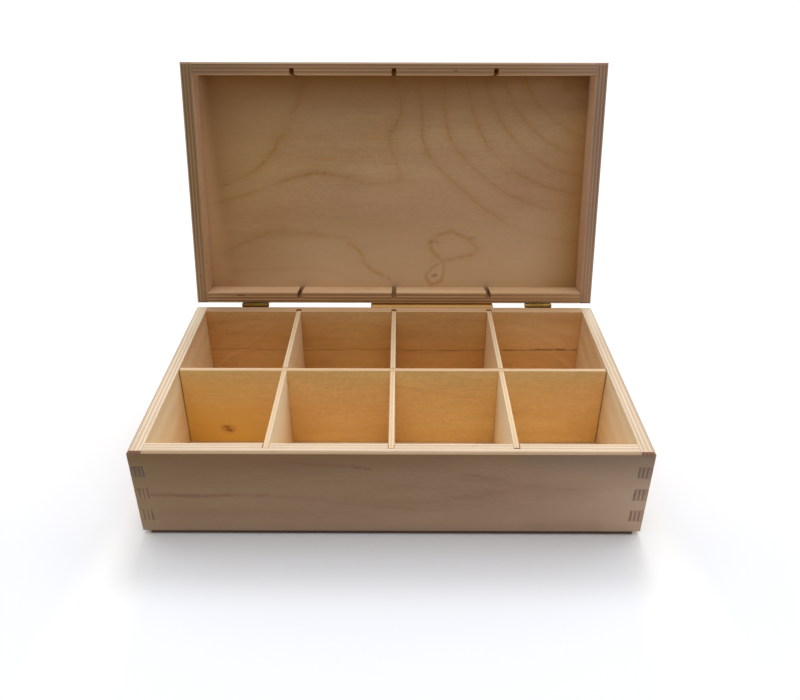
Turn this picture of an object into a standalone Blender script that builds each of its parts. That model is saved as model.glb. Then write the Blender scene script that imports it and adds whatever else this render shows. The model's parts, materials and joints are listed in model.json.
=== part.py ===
"""Plywood compartment box with a hinged lid, standing open on its stop batten.

Metres, +Z up. The origin is the centre of the box's footprint on the surface that it stands on.
+X is to the right seen from the front and +Y is to the rear. The lid is drawn closed, in the
space of an empty on the hinge axis, and that empty then turns it open.
"""

import math

import bmesh
import bpy

# Box body, uncut: four walls with finger joints, later sawn into base and lid
BOX_WIDTH = 0.290
BOX_DEPTH = 0.168
WALL_THICKNESS = 0.008
FINGER_HEIGHT = 0.008
LEAST_FINGER = 0.0015
BASE_WALL_HEIGHT = 0.058
LID_WALL_HEIGHT = 0.019
SAW_KERF = 0.003
RIM_CHAMFER = 0.0013

# Thin panels glued over the walls
BOTTOM_THICKNESS = 0.003
BOTTOM_SIDE_INSET = 0.004
BOTTOM_FRONT_INSET = 0.0008
BOTTOM_EASING = 0.0004
TOP_THICKNESS = 0.003
TOP_ROUNDING = 0.0012
TOP_ROUNDING_STEPS = 3

# Dividers, halved over each other, the cross ones housed in saw slots
COLUMN_COUNT = 4
DIVIDER_THICKNESS = 0.0033
DIVIDER_DROP = 0.0005
DIVIDER_EASING = 0.0003
HOUSING_DEPTH = 0.0042
FRONT_TONGUE = 0.0036
REAR_TONGUE = 0.0024
HOUSING_CLEARANCE = 0.0001
LID_SLOT_WIDTH = 0.003
CROSS_SHIFTS = (-0.0003, -0.0001, 0.0004)
LONG_END_GAP = 0.0003
HALVING_CLEARANCE = 0.00015

# Fits between pieces
GLUE_GAP = 0.0001
CLOSED_GAP = 0.0005
STOP_CLEARANCE = 0.0003

# Stop batten on the back of the base
BATTEN_LENGTH = 0.090
BATTEN_DEPTH = 0.008
BATTEN_HEIGHT = 0.014
BATTEN_HINGE_GAP = 0.0235
BATTEN_DROP = 0.0002
BATTEN_EASING = 0.0005

# Butt hinges screwed on the rear faces, with rolled knuckles
LEFT_HINGE_INSET = 0.043
RIGHT_HINGE_INSET = 0.039
HINGE_WIDTH = 0.019
KNUCKLE_COUNT = 3
KNUCKLE_RADIUS = 0.00175
KNUCKLE_GAP = 0.00015
PIN_RADIUS = 0.0007
PIN_CLEARANCE = 0.00008
PIN_HEAD_RADIUS = 0.001
PIN_HEAD_THICKNESS = 0.00025
PIN_SETBACK = 0.0014
LEAF_THICKNESS = 0.0008
LEAF_REACH = 0.0112
LEAF_CORNER = 0.0009
LEAF_CORNER_STEPS = 3
LEAF_NOTCH_CLEARANCE = 0.0003
KNUCKLE_STEPS = 20
BORE_STEPS = 16

# Countersunk slotted screws, two in each leaf
SCREW_SPACING = 0.0106
SCREW_DISTANCE = 0.0066
SCREW_LENGTH = 0.0055
SCREW_SHANK_RADIUS = 0.0007
SCREW_HEAD_RADIUS = 0.0014
SCREW_HEAD_HEIGHT = 0.0006
SCREW_TIP_LENGTH = 0.0012
SCREW_CLEARANCE = 0.0001
SCREW_DRIVE_WIDTH = 0.00035
SCREW_DRIVE_DEPTH = 0.0003
SCREW_DRIVE_TURN = math.radians(35)
SCREW_STEPS = 14

# Round edges are shaded smooth where their faces meet at less than this
SHARP_ANGLE = math.radians(35)

# Every cutter runs past what it cuts by this much
OVERRUN = 0.001
WELD_DISTANCE = 0.000001

# Sizes that follow from the ones above
LID_LOW = BASE_WALL_HEIGHT + SAW_KERF
UNCUT_HEIGHT = LID_LOW + LID_WALL_HEIGHT
FINGER_COUNT = round(UNCUT_HEIGHT / FINGER_HEIGHT)
WALL_FOOT = BOTTOM_THICKNESS + GLUE_GAP
RIM_HEIGHT = WALL_FOOT + BASE_WALL_HEIGHT
INNER_WIDTH = BOX_WIDTH - 2 * WALL_THICKNESS
INNER_DEPTH = BOX_DEPTH - 2 * WALL_THICKNESS
LEFT_HINGE_CENTRE = LEFT_HINGE_INSET - BOX_WIDTH / 2
RIGHT_HINGE_CENTRE = BOX_WIDTH / 2 - RIGHT_HINGE_INSET
BATTEN_CENTRE = RIGHT_HINGE_CENTRE - HINGE_WIDTH / 2 - BATTEN_HINGE_GAP - BATTEN_LENGTH / 2
REAR_FACE = BOX_DEPTH / 2
PIN_DEPTH = REAR_FACE + PIN_SETBACK
PIN_HEIGHT = RIM_HEIGHT + CLOSED_GAP / 2
# The lid's walls hang in the closed lid's space, whose zero is the hinge pin
LID_WALL_LIFT = CLOSED_GAP / 2 - LID_LOW
LID_TOP = LID_WALL_LIFT + UNCUT_HEIGHT
DIVIDER_FOOT = WALL_FOOT
DIVIDER_HEIGHT = BASE_WALL_HEIGHT - DIVIDER_DROP
HOUSING_WIDTH = DIVIDER_THICKNESS + 2 * HOUSING_CLEARANCE
BORE_RADIUS = PIN_RADIUS + PIN_CLEARANCE
LEAF_INNER = GLUE_GAP - PIN_SETBACK
LEAF_OUTER = LEAF_INNER + LEAF_THICKNESS

# Colours from the photograph, and surfaces: colour, roughness, metallic
BIRCH = ((0.62, 0.44, 0.27), 0.6, 0.0)
BIRCH_PANEL = ((0.55, 0.38, 0.22), 0.62, 0.0)
BIRCH_DIVIDER = ((0.66, 0.48, 0.3), 0.6, 0.0)
HARDBOARD = ((0.13, 0.07, 0.04), 0.7, 0.0)
BATTEN_WOOD = ((0.6, 0.36, 0.16), 0.6, 0.0)
BRASS = ((0.52, 0.38, 0.14), 0.35, 1.0)


def clear_scene():
    for scene_object in list(bpy.data.objects):
        bpy.data.objects.remove(scene_object, do_unlink=True)


def new_collection(name):
    collection = bpy.data.collections.new(name)
    bpy.context.scene.collection.children.link(collection)
    return collection


def new_material(name, surface):
    colour, roughness, metallic = surface
    material = bpy.data.materials.new(name)
    material.use_nodes = True
    shader = material.node_tree.nodes["Principled BSDF"]
    shader.inputs["Base Color"].default_value = (*colour, 1.0)
    shader.inputs["Roughness"].default_value = roughness
    shader.inputs["Metallic"].default_value = metallic
    return material


def new_object(name, mesh, location, parent=None, rotation=(0, 0, 0)):
    """An object in the parts collection, placed in the space of its parent."""
    made = bpy.data.objects.new(name, mesh)
    made.location = location
    made.rotation_euler = rotation
    made.parent = parent
    parts.objects.link(made)
    return made


def as_cutter(made):
    """Moves an object to the cutters, where no render shows it."""
    parts.objects.unlink(made)
    cutters.objects.link(made)
    made.hide_render = True
    made.display_type = "WIRE"
    return made


def add_block(shape, size, centre):
    """Adds a box to a shape that may hold more of them."""
    corners = bmesh.ops.create_cube(shape, size=1)["verts"]
    bmesh.ops.scale(shape, vec=size, verts=corners)
    bmesh.ops.translate(shape, vec=centre, verts=corners)


def block(name, size, location, parent=None):
    """A box of the given size about its location."""
    shape = bmesh.new()
    add_block(shape, size, (0, 0, 0))
    mesh = bpy.data.meshes.new(name)
    shape.to_mesh(mesh)
    shape.free()
    return new_object(name, mesh, location, parent)


def flat_solid(name, outlines, thickness, location, rotation, parent=None):
    """Flat outlines, the first the rim and the rest holes, given a thickness about their plane."""
    curve = bpy.data.curves.new(name, "CURVE")
    curve.dimensions = "2D"
    curve.fill_mode = "BOTH"
    curve.extrude = thickness / 2
    for outline in outlines:
        spline = curve.splines.new("POLY")
        spline.points.add(len(outline) - 1)
        spline.use_cyclic_u = True
        for point, (across, up) in zip(spline.points, outline):
            point.co = (across, up, 0, 1)
    drawn = new_object(name + "_outline", curve, location, parent, rotation)
    graph = bpy.context.evaluated_depsgraph_get()
    mesh = bpy.data.meshes.new_from_object(drawn.evaluated_get(graph))
    mesh.name = name
    bpy.data.objects.remove(drawn)
    shape = bmesh.new()
    shape.from_mesh(mesh)
    bmesh.ops.remove_doubles(shape, verts=shape.verts, dist=WELD_DISTANCE)
    shape.to_mesh(mesh)
    shape.free()
    return new_object(name, mesh, location, parent, rotation)


def turned(name, profile, steps, location, rotation, parent=None):
    """A profile of (radius, height) points, from the axis at the top to the axis at the foot, turned."""
    mesh = bpy.data.meshes.new(name)
    points = [(radius, 0, height) for radius, height in profile]
    links = [(index, index + 1) for index in range(len(points) - 1)]
    mesh.from_pydata(points, links, [])
    made = new_object(name, mesh, location, parent, rotation)
    spin = made.modifiers.new("turn", "SCREW")
    spin.steps = steps
    spin.render_steps = steps
    spin.use_merge_vertices = True
    spin.merge_threshold = WELD_DISTANCE
    spin.use_smooth_shade = True
    return made


def combine(made, cutter, operation="DIFFERENCE"):
    """Cuts an object by a cutter, or keeps only what lies inside it."""
    cut = made.modifiers.new(cutter.name, "BOOLEAN")
    cut.operation = operation
    cut.object = cutter


def ease(made, width, steps=1, only_top=False):
    """Takes the corners off an object's edges, or off the ones round its top alone."""
    bevel = made.modifiers.new("eased edges", "BEVEL")
    bevel.width = width
    bevel.segments = steps
    if not only_top:
        return
    bevel.limit_method = "WEIGHT"
    shape = bmesh.new()
    shape.from_mesh(made.data)
    weight = shape.edges.layers.float.new("bevel_weight_edge")
    for edge in shape.edges:
        edge[weight] = float(min(vert.co.z for vert in edge.verts) > 0)
    shape.to_mesh(made.data)
    shape.free()


def finish(made, material):
    made.data.materials.append(material)


# Walls with finger joints


def finger_bands(low, high):
    """[foot, head, parity] of each finger between two heights of the box. A sliver joins its neighbour."""
    bands = []
    for finger in range(FINGER_COUNT):
        top = UNCUT_HEIGHT if finger == FINGER_COUNT - 1 else (finger + 1) * FINGER_HEIGHT
        foot = max(finger * FINGER_HEIGHT, low)
        head = min(top, high)
        if head > foot:
            bands.append([foot, head, finger % 2])
    if bands[0][1] - low < LEAST_FINGER:
        bands[1][0] = low
        del bands[0]
    if high - bands[-1][0] < LEAST_FINGER:
        bands[-2][1] = high
        del bands[-1]
    return bands


def socket_comb(name, length, low, high, own_parity, place, parent, turn):
    """Clears the neighbouring walls' fingers from both ends of a wall, between two heights of the box."""
    shape = bmesh.new()
    reach = WALL_THICKNESS + GLUE_GAP + OVERRUN
    middle = (length - reach) / 2 + OVERRUN
    for foot, head, parity in finger_bands(low, high):
        if parity == own_parity:
            continue
        start = foot - (OVERRUN if foot == low else GLUE_GAP / 2)
        end = head + (OVERRUN if head == high else GLUE_GAP / 2)
        size = (reach, WALL_THICKNESS + 2 * OVERRUN, end - start)
        height = (start + end - low - high) / 2
        add_block(shape, size, (middle, 0, height))
        add_block(shape, size, (-middle, 0, height))
    mesh = bpy.data.meshes.new(name)
    shape.to_mesh(mesh)
    shape.free()
    return as_cutter(new_object(name, mesh, place, parent, (0, 0, turn)))


def box_walls(prefix, low, high, lift, centre_depth, parent=None):
    """The four walls between two heights of the uncut box: front and rear own the lowest finger."""
    across = (BOX_WIDTH - WALL_THICKNESS) / 2
    along = (BOX_DEPTH - WALL_THICKNESS) / 2
    square = math.pi / 2
    plan = {
        "front": (BOX_WIDTH, 0, 0, -along, 0),
        "rear": (BOX_WIDTH, 0, 0, along, 0),
        "left": (BOX_DEPTH, 1, -across, 0, square),
        "right": (BOX_DEPTH, 1, across, 0, square),
    }
    walls = {}
    for side, (length, parity, sideways, depth, turn) in plan.items():
        name = f"{prefix}_{side}_wall"
        place = (sideways, centre_depth + depth, lift + (low + high) / 2)
        wall = block(name, (length, WALL_THICKNESS, high - low), place, parent)
        wall.rotation_euler = (0, 0, turn)
        combine(wall, socket_comb(name + "_sockets", length, low, high, parity, place, parent, turn))
        finish(wall, birch)
        walls[side] = wall
    return walls


def rim_envelope(name, rim, inward, reach, centre_depth, parent=None):
    """A block whose sides slope at 45 degrees and meet the box's outer faces one chamfer from the rim."""
    shape = bmesh.new()
    bmesh.ops.create_cube(shape, size=2)
    for vert in shape.verts:
        depth = reach if vert.co.z * inward > 0 else -OVERRUN
        vert.co.x *= BOX_WIDTH / 2 - RIM_CHAMFER + depth
        vert.co.y *= BOX_DEPTH / 2 - RIM_CHAMFER + depth
        vert.co.z = rim + inward * depth
    mesh = bpy.data.meshes.new(name)
    shape.to_mesh(mesh)
    shape.free()
    return as_cutter(new_object(name, mesh, (0, centre_depth, 0), parent))


def cross_places():
    """Where the cross dividers stand along the width, with equal compartments between them."""
    room = (INNER_WIDTH - (COLUMN_COUNT - 1) * DIVIDER_THICKNESS) / COLUMN_COUNT
    first = -INNER_WIDTH / 2 + room + DIVIDER_THICKNESS / 2
    return [first + column * (room + DIVIDER_THICKNESS) for column in range(COLUMN_COUNT - 1)]


def cut_housings(walls, width, foot, height, centre_depth, parent=None):
    """Saw slots from foot to rim in the front and rear walls, one pair for each cross divider."""
    size = (width, INNER_DEPTH + 2 * HOUSING_DEPTH, height + 2 * OVERRUN)
    for place in cross_places():
        saw = as_cutter(block("housing_saw", size, (place, centre_depth, foot + height / 2), parent))
        combine(walls["front"], saw)
        combine(walls["rear"], saw)


def add_base():
    walls = box_walls("base", 0, BASE_WALL_HEIGHT, WALL_FOOT, 0)
    envelope = rim_envelope("base_rim_envelope", RIM_HEIGHT, -1, BASE_WALL_HEIGHT + OVERRUN, 0)
    for wall in walls.values():
        combine(wall, envelope, "INTERSECT")
    cut_housings(walls, HOUSING_WIDTH, WALL_FOOT, BASE_WALL_HEIGHT, 0)

    bottom_size = (
        BOX_WIDTH - 2 * BOTTOM_SIDE_INSET,
        BOX_DEPTH - 2 * BOTTOM_FRONT_INSET,
        BOTTOM_THICKNESS,
    )
    bottom = block("base_bottom_panel", bottom_size, (0, 0, BOTTOM_THICKNESS / 2))
    ease(bottom, BOTTOM_EASING)
    finish(bottom, hardboard)

    batten_size = (BATTEN_LENGTH, BATTEN_DEPTH, BATTEN_HEIGHT)
    batten_place = (
        BATTEN_CENTRE,
        REAR_FACE + GLUE_GAP + BATTEN_DEPTH / 2,
        RIM_HEIGHT - BATTEN_DROP - BATTEN_HEIGHT / 2,
    )
    batten = block("base_stop_batten", batten_size, batten_place)
    ease(batten, BATTEN_EASING)
    finish(batten, batten_wood)
    return walls


def add_dividers():
    """One long divider and the cross dividers, which let each other in by half their height."""
    centre_height = DIVIDER_FOOT + DIVIDER_HEIGHT / 2
    halving_width = DIVIDER_THICKNESS + 2 * HALVING_CLEARANCE
    halving_height = DIVIDER_HEIGHT / 2 + HALVING_CLEARANCE + OVERRUN

    long_size = (INNER_WIDTH - 2 * LONG_END_GAP, DIVIDER_THICKNESS, DIVIDER_HEIGHT)
    long_divider = block("divider_long", long_size, (0, 0, centre_height))
    ease(long_divider, DIVIDER_EASING)
    finish(long_divider, birch_divider)

    upper_size = (INNER_WIDTH, halving_width, halving_height)
    upper_foot = centre_height - HALVING_CLEARANCE
    upper_saw = as_cutter(block("upper_halving_saw", upper_size, (0, 0, upper_foot + halving_height / 2)))

    lower_size = (halving_width, DIVIDER_THICKNESS + 2 * OVERRUN, halving_height)
    lower_foot = centre_height + HALVING_CLEARANCE - halving_height
    cross_size = (DIVIDER_THICKNESS, INNER_DEPTH + FRONT_TONGUE + REAR_TONGUE, DIVIDER_HEIGHT)
    cross_depth = (REAR_TONGUE - FRONT_TONGUE) / 2
    for number, (place, shift) in enumerate(zip(cross_places(), CROSS_SHIFTS), 1):
        cross = block(f"divider_cross_{number}", cross_size, (place, cross_depth + shift, centre_height))
        ease(cross, DIVIDER_EASING)
        combine(cross, upper_saw)
        finish(cross, birch_divider)
        lower_place = (place, 0, lower_foot + halving_height / 2)
        lower_saw = as_cutter(block("lower_halving_saw", lower_size, lower_place))
        combine(long_divider, lower_saw)


def opening_angle():
    """How far the lid turns before its rear wall lies on the batten's outer edge."""
    across = REAR_FACE + GLUE_GAP + BATTEN_DEPTH - PIN_DEPTH
    below = PIN_HEIGHT - (RIM_HEIGHT - BATTEN_DROP)
    lean = math.acos((STOP_CLEARANCE - PIN_SETBACK) / math.hypot(across, below))
    return math.atan2(below, across) + lean


def add_hinge_axis():
    """The empty that carries the lid, on the line of the hinge pins, turned to the open lid."""
    axis = bpy.data.objects.new("lid_axis", None)
    axis.location = (0, PIN_DEPTH, PIN_HEIGHT)
    axis.rotation_euler = (-opening_angle(), 0, 0)
    parts.objects.link(axis)
    return axis


def add_lid(axis):
    walls = box_walls("lid", LID_LOW, UNCUT_HEIGHT, LID_WALL_LIFT, -PIN_DEPTH, axis)
    wall_height = UNCUT_HEIGHT - LID_LOW
    rim = CLOSED_GAP / 2
    envelope = rim_envelope("lid_rim_envelope", rim, 1, wall_height + OVERRUN, -PIN_DEPTH, axis)
    for wall in walls.values():
        combine(wall, envelope, "INTERSECT")
    cut_housings(walls, LID_SLOT_WIDTH, rim, wall_height, -PIN_DEPTH, axis)

    top_place = (0, -PIN_DEPTH, LID_TOP + GLUE_GAP + TOP_THICKNESS / 2)
    top = block("lid_top_panel", (BOX_WIDTH, BOX_DEPTH, TOP_THICKNESS), top_place, axis)
    ease(top, TOP_ROUNDING, TOP_ROUNDING_STEPS, only_top=True)
    finish(top, birch_panel)
    return walls


# Hinges


def arc(radius, start, sweep, steps):
    """Points along an arc about the pin, both ends included."""
    turns = [start + sweep * step / steps for step in range(steps + 1)]
    return [(radius * math.cos(turn), radius * math.sin(turn)) for turn in turns]


def leaf_outline():
    """The end view of a leaf: a plate hanging from a rolled knuckle about the pin."""
    inner_turn = math.atan2(-math.sqrt(KNUCKLE_RADIUS**2 - LEAF_INNER**2), LEAF_INNER)
    outer_turn = math.atan2(-math.sqrt(KNUCKLE_RADIUS**2 - LEAF_OUTER**2), LEAF_OUTER)
    sweep = math.tau + inner_turn - outer_turn
    foot = [(LEAF_INNER, -LEAF_REACH), (LEAF_OUTER, -LEAF_REACH)]
    return foot + arc(KNUCKLE_RADIUS, outer_turn, sweep, KNUCKLE_STEPS)


def round_leaf_corners(leaf):
    shape = bmesh.new()
    shape.from_mesh(leaf.data)
    weight = shape.edges.layers.float.new("bevel_weight_edge")
    lowest = min(vert.co.y for vert in shape.verts)
    for edge in shape.edges:
        first, last = edge.verts
        at_foot = max(first.co.y, last.co.y) - lowest < WELD_DISTANCE
        across = abs(first.co.z - last.co.z) < WELD_DISTANCE
        edge[weight] = float(at_foot and across)
    shape.to_mesh(leaf.data)
    shape.free()
    rounding = leaf.modifiers.new("round corners", "BEVEL")
    rounding.width = LEAF_CORNER
    rounding.segments = LEAF_CORNER_STEPS
    rounding.limit_method = "WEIGHT"


def add_leaf(name, centre, place, rotation, owns_ends, parent=None):
    """One leaf, whose knuckles alternate with those of its partner along the pin."""
    bore = arc(BORE_RADIUS, 0, math.tau * (BORE_STEPS - 1) / BORE_STEPS, BORE_STEPS - 1)
    leaf = flat_solid(name, [leaf_outline(), bore], HINGE_WIDTH, place, rotation, parent)
    leaf.data.shade_smooth()
    leaf.data.set_sharp_from_angle(angle=SHARP_ANGLE)
    round_leaf_corners(leaf)
    pitch = HINGE_WIDTH / KNUCKLE_COUNT
    side = 2 * (KNUCKLE_RADIUS + LEAF_NOTCH_CLEARANCE)
    for knuckle in range(KNUCKLE_COUNT):
        if (knuckle % 2 == 0) == owns_ends:
            continue
        low = knuckle * pitch - (KNUCKLE_GAP / 2 if knuckle > 0 else OVERRUN)
        high = (knuckle + 1) * pitch + (KNUCKLE_GAP / 2 if knuckle < KNUCKLE_COUNT - 1 else OVERRUN)
        middle = centre - HINGE_WIDTH / 2 + (low + high) / 2
        notch_place = (middle, place[1], place[2])
        combine(leaf, as_cutter(block("knuckle_notch", (high - low, side, side), notch_place, parent)))
    finish(leaf, brass)
    return leaf


def add_pin(name, centre):
    """A pin with an upset head at each end of the knuckles."""
    half = HINGE_WIDTH / 2 + KNUCKLE_GAP
    tip = half + PIN_HEAD_THICKNESS
    profile = [
        (0, tip),
        (PIN_HEAD_RADIUS, tip),
        (PIN_HEAD_RADIUS, half),
        (PIN_RADIUS, half),
        (PIN_RADIUS, -half),
        (PIN_HEAD_RADIUS, -half),
        (PIN_HEAD_RADIUS, -tip),
        (0, -tip),
    ]
    pin = turned(name, profile, BORE_STEPS, (centre, PIN_DEPTH, PIN_HEIGHT), (0, math.pi / 2, 0))
    finish(pin, brass)


def screw_profile(clearance, start):
    """A countersunk head over a plain shank, from a height of start down to the tip."""
    shank = SCREW_SHANK_RADIUS + clearance
    head = SCREW_HEAD_RADIUS + clearance
    tip = -SCREW_LENGTH - clearance
    above = [(0, start), (head, start)] if start else [(0, 0)]
    neck = [(head, 0), (shank, -SCREW_HEAD_HEIGHT), (shank, tip + SCREW_TIP_LENGTH)]
    return above + neck + [(0, tip)]


def add_screws(prefix, centre, leaf, wall, up, parent=None):
    """Two screws through a leaf into the wall behind it, with their holes in both."""
    base_place = (0, 0) if parent else (PIN_DEPTH, PIN_HEIGHT)
    depth = base_place[0] + LEAF_OUTER
    height = base_place[1] + up * SCREW_DISTANCE
    facing = (-math.pi / 2, 0, 0)
    for number, side in enumerate((-1, 1), 1):
        place = (centre + side * SCREW_SPACING / 2, depth, height)
        name = f"{prefix}_screw_{number}"
        hole_profile = screw_profile(SCREW_CLEARANCE, OVERRUN)
        hole = as_cutter(turned(name + "_hole", hole_profile, SCREW_STEPS, place, facing, parent))
        combine(leaf, hole)
        combine(wall, hole)
        screw = turned(name, screw_profile(0, 0), SCREW_STEPS, place, facing, parent)
        drive_size = (2 * (SCREW_HEAD_RADIUS + OVERRUN), 2 * SCREW_DRIVE_DEPTH, SCREW_DRIVE_WIDTH)
        drive = as_cutter(block(name + "_drive", drive_size, place, parent))
        drive.rotation_euler = (0, side * up * SCREW_DRIVE_TURN, 0)
        combine(screw, drive)
        finish(screw, brass)


def add_hinge(side, centre, base_wall, lid_wall, axis):
    upright = (math.pi / 2, 0, math.pi / 2)
    hung = (-math.pi / 2, 0, math.pi / 2)
    name = f"hinge_{side}"
    base_leaf = add_leaf(name + "_base_leaf", centre, (centre, PIN_DEPTH, PIN_HEIGHT), upright, True)
    lid_leaf = add_leaf(name + "_lid_leaf", centre, (centre, 0, 0), hung, False, axis)
    add_pin(name + "_pin", centre)
    add_screws(name + "_base", centre, base_leaf, base_wall, -1)
    add_screws(name + "_lid", centre, lid_leaf, lid_wall, 1, axis)


clear_scene()
parts = new_collection("compartment_box")
cutters = new_collection("compartment_box_cutters")
birch = new_material("birch_plywood", BIRCH)
birch_panel = new_material("birch_panel", BIRCH_PANEL)
birch_divider = new_material("birch_divider", BIRCH_DIVIDER)
hardboard = new_material("hardboard", HARDBOARD)
batten_wood = new_material("batten_wood", BATTEN_WOOD)
brass = new_material("brass", BRASS)

base_walls = add_base()
add_dividers()
lid_axis = add_hinge_axis()
lid_walls = add_lid(lid_axis)
add_hinge("left", LEFT_HINGE_CENTRE, base_walls["rear"], lid_walls["rear"], lid_axis)
add_hinge("right", RIGHT_HINGE_CENTRE, base_walls["rear"], lid_walls["rear"], lid_axis)
print(f"the lid stands open at {math.degrees(opening_angle()):.3f} degrees")
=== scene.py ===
"""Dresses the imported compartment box: plywood with its plies, grain and knots, brass hinges, studio.

Metres, +Z up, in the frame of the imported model. The wood's patterns are laid out in the space of the
closed box, so that they serve the base and the lid alike, also where the lid stands open.
"""

import json
import math
from collections import namedtuple

import bmesh
import bpy
from mathutils import Matrix, Vector

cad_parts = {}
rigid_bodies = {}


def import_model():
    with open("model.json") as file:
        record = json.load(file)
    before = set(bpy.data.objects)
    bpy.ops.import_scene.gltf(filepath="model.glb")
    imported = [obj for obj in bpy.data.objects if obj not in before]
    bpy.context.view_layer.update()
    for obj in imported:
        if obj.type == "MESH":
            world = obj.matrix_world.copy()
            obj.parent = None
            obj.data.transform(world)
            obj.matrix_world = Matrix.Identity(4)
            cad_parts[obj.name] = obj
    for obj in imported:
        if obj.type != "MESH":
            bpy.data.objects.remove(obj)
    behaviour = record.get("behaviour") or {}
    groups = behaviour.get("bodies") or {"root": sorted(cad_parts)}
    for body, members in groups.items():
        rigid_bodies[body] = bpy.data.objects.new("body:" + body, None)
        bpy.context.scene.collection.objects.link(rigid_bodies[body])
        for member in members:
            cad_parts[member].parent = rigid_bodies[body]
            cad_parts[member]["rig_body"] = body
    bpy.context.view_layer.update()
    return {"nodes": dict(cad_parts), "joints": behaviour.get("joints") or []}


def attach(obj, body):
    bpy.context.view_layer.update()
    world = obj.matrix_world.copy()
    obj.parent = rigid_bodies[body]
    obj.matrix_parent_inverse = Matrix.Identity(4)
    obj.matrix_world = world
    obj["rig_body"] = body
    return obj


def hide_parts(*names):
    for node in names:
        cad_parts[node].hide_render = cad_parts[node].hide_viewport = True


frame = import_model()
bpy.context.scene.view_settings.view_transform = "Standard"

# Hinge and lid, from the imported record
HINGE = frame["joints"][0]
OPENING = math.radians(103.2705676)
PIN = Vector(HINGE["pos_m"])

lid_opening = Matrix.Translation(PIN) @ Matrix.Rotation(-OPENING, 4, "X") @ Matrix.Translation(-PIN)

# Camera, solved from the edges of the box in the photograph
IMAGE_WIDTH = 800
IMAGE_HEIGHT = 700
FOCAL_PIXELS = 764.736
AXIS_ROW = 328.98
CAMERA_PLACE = (0.00543, -0.411408, 0.328252)
CAMERA_YAW = math.radians(-0.114)
CAMERA_PITCH = math.radians(-30.014)
CAMERA_ROLL = math.radians(0.084)
SENSOR_WIDTH = 36
NEAREST_SEEN = 0.01
FARTHEST_SEEN = 100

# Soft suns, as (name, strength, spread, tilt about x, tilt about y), with angles in degrees
SUNS = (
    ("overhead", 1.42, 60, 0, 0),
    ("behind", 0.76, 17, -34, 4),
    ("low_behind", 0.28, 60, -60, 0),
    ("right", 0.78, 50, -30, 50),
    ("left", 0.62, 50, -30, -50),
)

# Sky: how strong it is where it is seen, and as a light
SKY_COLOUR = (1, 1, 1, 1)
SKY_SEEN = 1.0
SKY_STRENGTH = 0.18

# Floor: a little duller before the box and paler farther back. The paler band at each side of the box is
# painted light over the box's shadow there
FLOOR_SIZE = 30.0
FLOOR_NEAR = (0.905, 0.924, 0.970, 1)
FLOOR_FAR = (0.99, 0.995, 1.0, 1)
FLOOR_TURN = (-0.15, 0.05)
FLOOR_PAINTED_LIGHT_BEGINS = (0.125, 0.148)
FLOOR_PAINTED_LIGHT_ENDS = (0.156, 0.182)
FLOOR_BOUNCE = (0.85, 0.85, 0.86, 1)
FLOOR_ROUGHNESS = 0.9

# Edges of the wooden and metal pieces, eased more finely than in the frame
WOOD_EASING = 0.00025
THIN_EASING = 0.0001
WOOD_LEAST_EDGE = 0.001
METAL_EASING = 0.00005
METAL_LEAST_EDGE = 0.00025
EASING_STEPS = 2
EASING_ROUNDNESS = 0.5
WELD_DISTANCE = 0.000005
FLAT_ANGLE = math.radians(1)
SHARP_ANGLE = math.radians(28)

# How a screen's steps become light: in proportion at the dark end, then along a curve
SCREEN_STEPS = 255
DARK_END = 0.04045
DARK_SLOPE = 12.92
CURVE_OFFSET = 0.055
CURVE_POWER = 2.4


def light(step):
    """The light of one step of a screen's colour."""
    share = step / SCREEN_STEPS
    if share <= DARK_END:
        return share / DARK_SLOPE
    return ((share + CURVE_OFFSET) / (1 + CURVE_OFFSET)) ** CURVE_POWER


def shade(red, green, blue):
    """A linear colour from one read off a screen."""
    return (light(red), light(green), light(blue), 1.0)


# A noise: its cycles per metre in each direction, what is added to the seed of its piece, the passage that
# turns it into a share or a brightness, its detail and its roughness
Noise = namedtuple("Noise", "scales added passage detail roughness", defaults=(None, 2.0, 0.5))
NOISE_MIDDLE = 0.5
SEED_SHIFTS = (3.7, 5.3, 7.1)

# Ends of a passage that falls instead of rising
FALLING = (1.0, 0.0)

# Sockets of a mix of colours
MIX_SHARE, MIX_FIRST, MIX_SECOND = 0, 6, 7
MIX_RESULT = 2


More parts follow.
